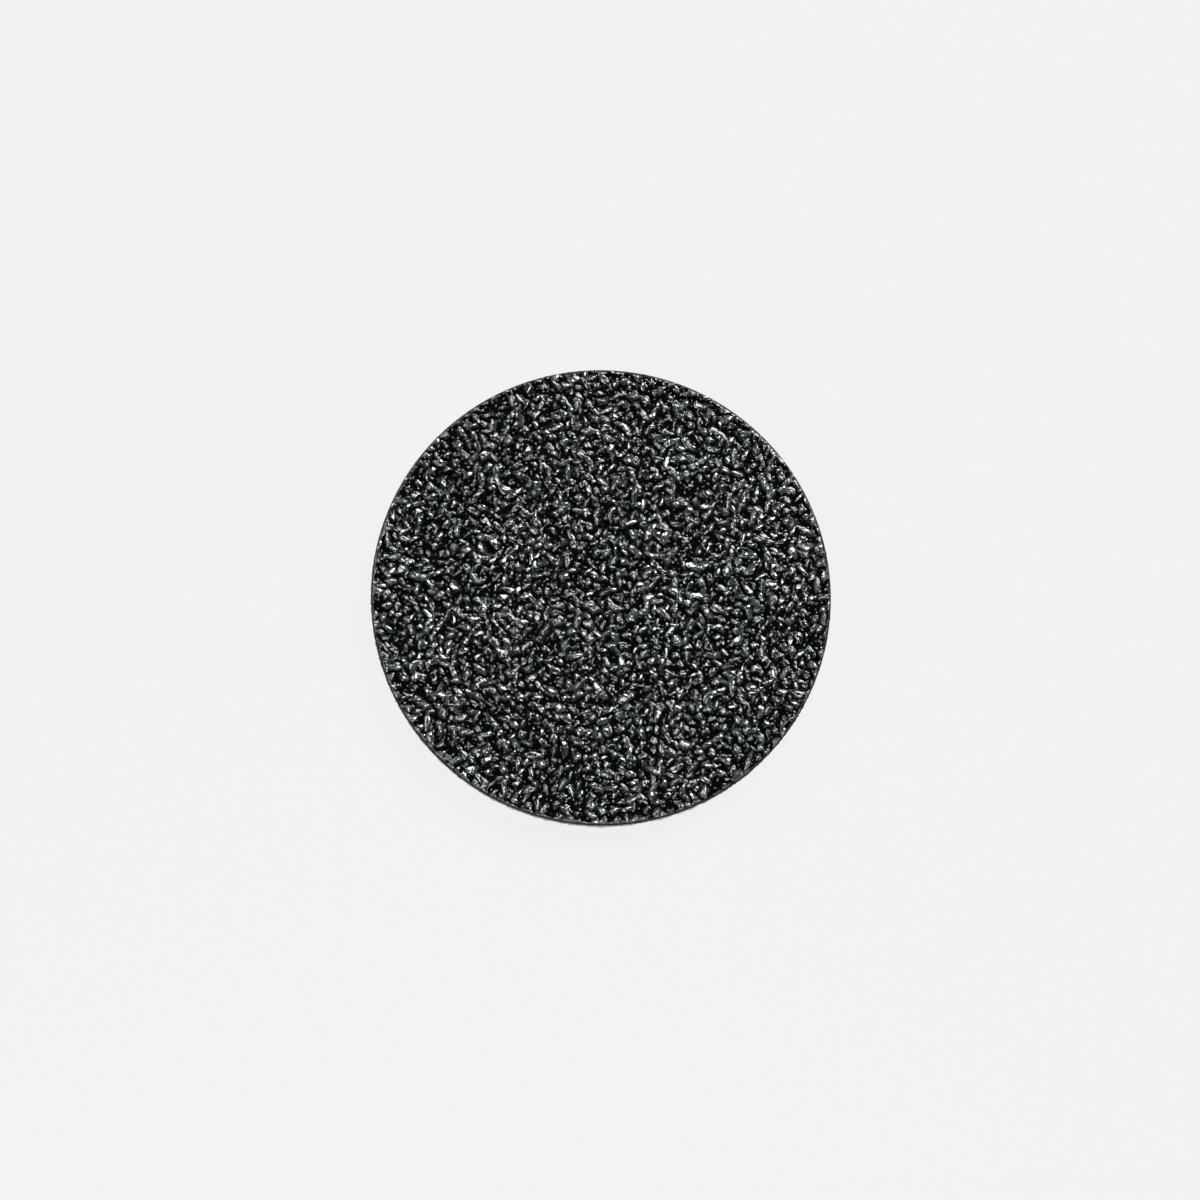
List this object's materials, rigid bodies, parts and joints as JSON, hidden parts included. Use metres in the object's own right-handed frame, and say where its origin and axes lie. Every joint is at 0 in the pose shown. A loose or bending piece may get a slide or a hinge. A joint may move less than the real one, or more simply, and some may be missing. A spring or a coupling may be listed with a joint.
{
  "type": "angle grinder carving disc",
  "caption": "Round flat coated-abrasive disc with coarse black grit on one face and a soft loop-fabric back that presses onto a hook pad.",
  "frame": {"origin": "centre of the loop face, on the disc's axis", "axes": "+Z along the disc's axis, out of the grit face; X and Y lie in the loop face"},
  "size_m": [0.05, 0.05, 0.0036],
  "materials": {
    "loop_nylon": "brushed loop pile",
    "ground_nylon": "fine warp knit",
    "laminating_film": "clear amber adhesive",
    "back_filling": "matte filled resin",
    "backing_cotton": "resin-treated twill",
    "front_filling": "matte filled resin",
    "make_resin": "cured phenolic resin",
    "silicon_carbide": "crushed crystalline grain",
    "size_resin": "glossy cured resin over grit"
  },
  "bodies": {
    "root": {"loop_pile": "loop_nylon", "loop_ground_knit": "ground_nylon", "laminating_adhesive": "laminating_film", "back_fill": "back_filling", "backing_cloth": "backing_cotton", "front_fill": "front_filling", "make_coat": "make_resin", "grain_layer": "silicon_carbide", "size_coat": "size_resin"}
  },
  "joints": []
}
